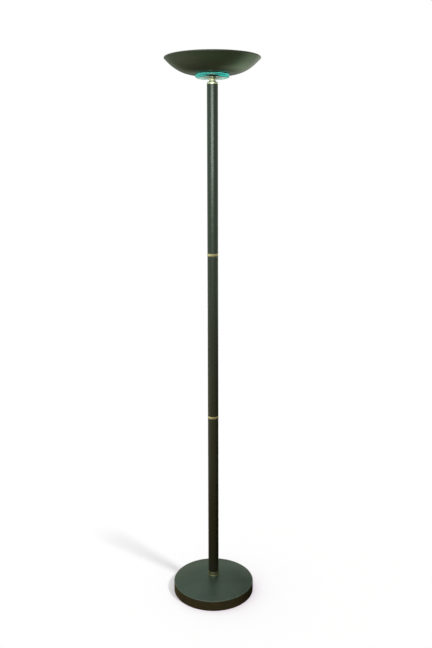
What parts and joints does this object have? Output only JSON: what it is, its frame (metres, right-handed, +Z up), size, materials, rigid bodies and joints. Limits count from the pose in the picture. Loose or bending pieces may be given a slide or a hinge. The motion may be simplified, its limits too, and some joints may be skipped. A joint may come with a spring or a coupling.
{
  "type": "torchiere floor lamp",
  "caption": "Torchiere floor lamp: round weighted base, painted tube pole with brass rings, green glass disc and an upturned bowl with a double-ended halogen bulb.",
  "frame": {"origin": "on the floor at the centre of the round base, under the pole axis", "axes": "+Z up along the pole, -Y the front as seen in the picture, +X to the right of that view; the bulb lies along X"},
  "size_m": [0.3072, 0.3072, 1.8],
  "materials": {
    "aluminium": "bright rolled sheet",
    "black_plastic": "moulded",
    "black_steel": "black",
    "blue_sleeve": "silicone sleeve",
    "brown_sleeve": "silicone sleeve",
    "cast_iron": "as cast",
    "clear_glass": "clear",
    "dull_brass": "dull, tarnished",
    "enamelled_steel": "cream enamel",
    "felt": "felt",
    "gasket_rubber": "matt",
    "green_glass": "thick, polished edge",
    "green_yellow_sleeve": "silicone sleeve",
    "nickel_steel": "nickel plated",
    "painted_steel_base": "satin black-green paint, worn",
    "painted_steel_bowl": "satin black-green paint outside, cream enamel inside",
    "painted_steel_pole": "satin black-green paint",
    "polished_brass": "polished, slightly aged",
    "quartz": "clear quartz",
    "silver_contact": "silver plated",
    "spring_steel": "spring steel",
    "steatite": "unglazed",
    "tungsten": "drawn wire",
    "white_nylon": "moulded",
    "zinc_steel": "zinc plated"
  },
  "bodies": {
    "root": {"base_collar": "dull_brass", "base_cover": "painted_steel_base", "base_lock_washer": "spring_steel", "base_nut": "zinc_steel", "base_stud": "zinc_steel", "base_washer": "zinc_steel", "base_weight": "cast_iron", "bottom_plate": "black_steel", "bottom_plate_screws": "zinc_steel", "bowl": "painted_steel_bowl", "catch_rivets": "nickel_steel", "cord_gland": "black_plastic", "coupling_nipples": "zinc_steel", "earth_lead": "green_yellow_sleeve", "earth_screw": "polished_brass", "earth_tag": "nickel_steel", "felt_pad": "felt", "filament": "tungsten", "glass_disc": "green_glass", "halogen_caps": "steatite", "halogen_tube": "quartz", "head_nipple": "zinc_steel", "head_nut": "zinc_steel", "head_washer": "zinc_steel", "hinge_pin": "nickel_steel", "holder_screws": "zinc_steel", "lamp_bracket": "enamelled_steel", "left_contact_spring": "spring_steel", "left_lamp_holder": "steatite", "live_lead": "brown_sleeve", "lower_glass_gasket": "gasket_rubber", "lower_ring": "polished_brass", "lower_tube": "painted_steel_pole", "lower_tube_plugs": "zinc_steel", "middle_tube": "painted_steel_pole", "middle_tube_plugs": "zinc_steel", "neck": "polished_brass", "neutral_lead": "blue_sleeve", "nipple_bush": "white_nylon", "reflector_tray": "aluminium", "right_contact_spring": "spring_steel", "right_lamp_holder": "steatite", "shield_catch": "spring_steel", "stud_bush": "white_nylon", "terminal_block": "white_nylon", "terminal_plate_screws": "zinc_steel", "terminal_plates": "nickel_steel", "terminal_screws": "zinc_steel", "terminal_sleeves": "polished_brass", "top_cap": "polished_brass", "upper_glass_gasket": "gasket_rubber", "upper_ring": "polished_brass", "upper_tube": "painted_steel_pole", "upper_tube_foot_plug": "zinc_steel", "upper_tube_head_plug": "zinc_steel"},
    "left_contact": {"left_contact": "silver_contact"},
    "right_contact": {"right_contact": "silver_contact"},
    "shield": {"shield_frame": "enamelled_steel", "glass_shield": "clear_glass"}
  },
  "joints": [
    {"name": "shield_hinge", "type": "hinge", "parent": "root", "child": "shield", "pos_m": [-0.078, 0, 1.789], "axis": [0, -1, 0], "range_deg": [0, 105]},
    {"name": "left_contact_press", "type": "slide", "parent": "root", "child": "left_contact", "axis": [-1, 0, 0], "range_m": [0, 0.0025], "stiffness_N_per_m": 1500, "springref_m": -0.003, "deforming": ["left_contact_spring"]},
    {"name": "right_contact_press", "type": "slide", "parent": "root", "child": "right_contact", "axis": [1, 0, 0], "range_m": [0, 0.0025], "stiffness_N_per_m": 1500, "springref_m": -0.003, "deforming": ["right_contact_spring"]}
  ]
}
